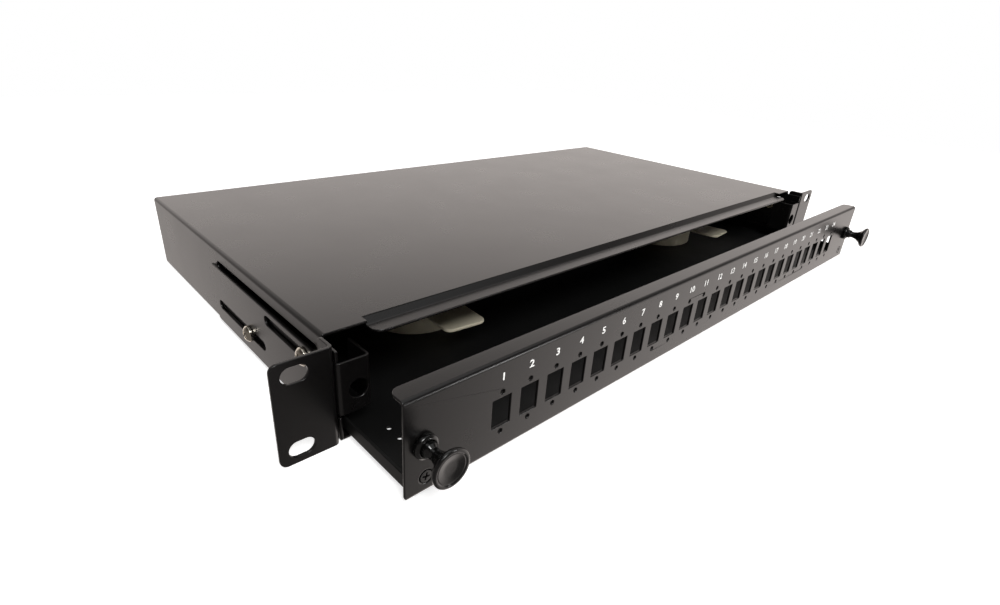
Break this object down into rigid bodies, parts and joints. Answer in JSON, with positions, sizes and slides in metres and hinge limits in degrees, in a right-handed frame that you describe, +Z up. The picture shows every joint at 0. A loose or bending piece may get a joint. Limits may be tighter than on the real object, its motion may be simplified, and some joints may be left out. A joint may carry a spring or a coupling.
{
  "type": "fibre termination box",
  "caption": "Sliding rack-mount fibre termination box: flat steel housing, pull-out drawer with adapter windows, spools and splice cassette, push latches, adjustable rack ears.",
  "frame": {"origin": "middle of the four rack slots, on the front face of the rack ears", "axes": "+X right along the front, +Y from the front to the rear, +Z up"},
  "size_m": [0.4826, 0.3118, 0.044],
  "materials": {
    "black_powder_coat": "fine-texture satin black powder coat on sheet steel",
    "nickel_plated_steel": "bright nickel plate",
    "black_zinc_screws": "black finished steel, satin",
    "black_nylon": "moulded black nylon, semi-matt",
    "glossy_black_nylon": "moulded black nylon, glossy",
    "ivory_abs": "moulded ivory ABS, semi-matt",
    "black_abs": "moulded black ABS, matt",
    "black_rubber": "moulded rubber, matt"
  },
  "bodies": {
    "housing": {"housing_cover": "black_powder_coat", "housing_base": "black_powder_coat", "guide_right": "black_powder_coat", "guide_left": "black_powder_coat", "gland_left": "black_nylon", "gland_nut_left": "black_nylon", "gland_cap_left": "black_nylon", "gland_seal_left": "black_rubber", "gland_right": "black_nylon", "gland_nut_right": "black_nylon", "gland_cap_right": "black_nylon", "gland_seal_right": "black_rubber", "blanking_plug_left": "black_nylon", "blanking_plug_right": "black_nylon", "ground_screw": "nickel_plated_steel", "bracket_screws": "nickel_plated_steel", "clinch_nuts": "nickel_plated_steel"},
    "drawer": {"adapter_panel": "black_powder_coat", "drawer_tray": "black_powder_coat", "panel_screws": "black_zinc_screws", "latch_collar_left": "glossy_black_nylon", "latch_collar_right": "glossy_black_nylon", "fibre_spool_left": "ivory_abs", "fibre_spool_right": "ivory_abs", "spool_screws": "nickel_plated_steel", "splice_cassette": "black_abs", "cassette_lid": "black_abs", "splice_comb": "black_abs", "cassette_posts": "nickel_plated_steel", "cassette_nuts": "nickel_plated_steel"},
    "bracket_left": {"rack_bracket_left": "black_powder_coat"},
    "bracket_right": {"rack_bracket_right": "black_powder_coat"},
    "latch_left": {"latch_pin_left": "glossy_black_nylon"},
    "latch_right": {"latch_pin_right": "glossy_black_nylon"}
  },
  "joints": [
    {"name": "drawer_slide", "type": "slide", "parent": "housing", "child": "drawer", "axis": [0, -1, 0], "range_m": [-0.0412, 0.1218]},
    {"name": "latch_left_push", "type": "slide", "parent": "drawer", "child": "latch_left", "axis": [0, 1, 0], "range_m": [0, 0.006]},
    {"name": "latch_right_push", "type": "slide", "parent": "drawer", "child": "latch_right", "axis": [0, 1, 0], "range_m": [0, 0.006]},
    {"name": "bracket_left_adjust", "type": "slide", "parent": "housing", "child": "bracket_left", "axis": [0, 1, 0], "range_m": [-0.0365, 0.01]},
    {"name": "bracket_right_adjust", "type": "slide", "parent": "housing", "child": "bracket_right", "axis": [0, 1, 0], "range_m": [-0.0365, 0.01]}
  ],
  "couplings": [
    {"joint": "bracket_right_adjust", "follows": "bracket_left_adjust", "ratio": 1}
  ]
}
